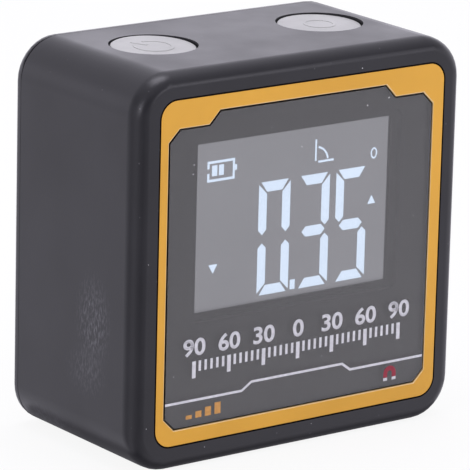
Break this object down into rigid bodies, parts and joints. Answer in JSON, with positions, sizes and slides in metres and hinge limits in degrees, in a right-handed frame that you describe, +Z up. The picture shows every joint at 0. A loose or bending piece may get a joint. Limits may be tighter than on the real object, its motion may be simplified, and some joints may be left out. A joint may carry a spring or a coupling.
{
  "type": "digital angle gauge",
  "caption": "Pocket digital angle gauge: square black moulded body with a framed smoked window over a lit segment display, round top buttons and a magnetic flat base.",
  "frame": {"origin": "middle of the underside, on the surface that the gauge stands on", "axes": "+Z up, -Y out of the window, +X to the right as the window is read"},
  "size_m": [0.06, 0.0322, 0.0602],
  "materials": {
    "shell_black": "finely textured black ABS",
    "smoked_window": "polished smoked acrylic",
    "trim_orange": "satin orange film",
    "frame_black": "matt black ABS",
    "display_glass": "negative segment glass",
    "light_guide": "white light guide",
    "contact_rubber": "silicone contact strip",
    "board_green": "solder resist on glass laminate",
    "chip_black": "moulded component body",
    "tinned_steel": "tinned spring steel",
    "button_grey": "light grey ABS with a fine grain",
    "cell_jacket": "printed sleeve on a steel can",
    "nickel_plate": "bright nickel",
    "red_insulation": "red insulation",
    "black_insulation": "black insulation",
    "screw_steel": "blackened steel"
  },
  "bodies": {
    "gauge_body": {"front_housing": "shell_black", "rear_cover": "shell_black", "window_panel": "smoked_window", "trim_frame": "trim_orange", "display_frame": "frame_black", "lcd_glass": "display_glass", "backlight": "light_guide", "elastomer_strip": "contact_rubber", "main_board": "board_green", "key_board": "board_green", "radio_module": "board_green", "controller_chip": "chip_black", "angle_sensor": "chip_black", "board_header": "chip_black", "power_switch": "chip_black", "zero_switch": "chip_black", "crystal": "tinned_steel", "coil_spring_lower": "tinned_steel", "coil_spring_upper": "tinned_steel", "battery_lower": "cell_jacket", "battery_upper": "cell_jacket", "bridge_plate": "nickel_plate", "positive_plate": "nickel_plate", "negative_plate": "nickel_plate", "magnet_left": "nickel_plate", "magnet_right": "nickel_plate", "red_lead": "red_insulation", "black_lead": "black_insulation", "cover_screw_lower_left": "screw_steel", "cover_screw_lower_right": "screw_steel", "cover_screw_upper_left": "screw_steel", "cover_screw_upper_right": "screw_steel", "board_screw_lower_left": "screw_steel", "board_screw_lower_right": "screw_steel", "board_screw_upper_left": "screw_steel", "board_screw_upper_right": "screw_steel", "key_screw_front": "screw_steel", "key_screw_rear": "screw_steel"},
    "power_key": {"power_button": "button_grey", "power_plunger": "button_grey"},
    "zero_key": {"zero_button": "button_grey", "zero_plunger": "button_grey"},
    "door": {"battery_door": "shell_black"}
  },
  "joints": [
    {"name": "power_button_press", "type": "slide", "parent": "gauge_body", "child": "power_key", "axis": [0, 0, -1], "range_m": [0, 0.0006], "stiffness_N_per_m": 3000},
    {"name": "zero_button_press", "type": "slide", "parent": "gauge_body", "child": "zero_key", "axis": [0, 0, -1], "range_m": [0, 0.0006], "stiffness_N_per_m": 3000},
    {"name": "battery_door_hinge", "type": "hinge", "parent": "gauge_body", "child": "door", "pos_m": [0, 0.0161, 0.0109], "axis": [-1, 0, 0], "range_deg": [0, 45]}
  ]
}
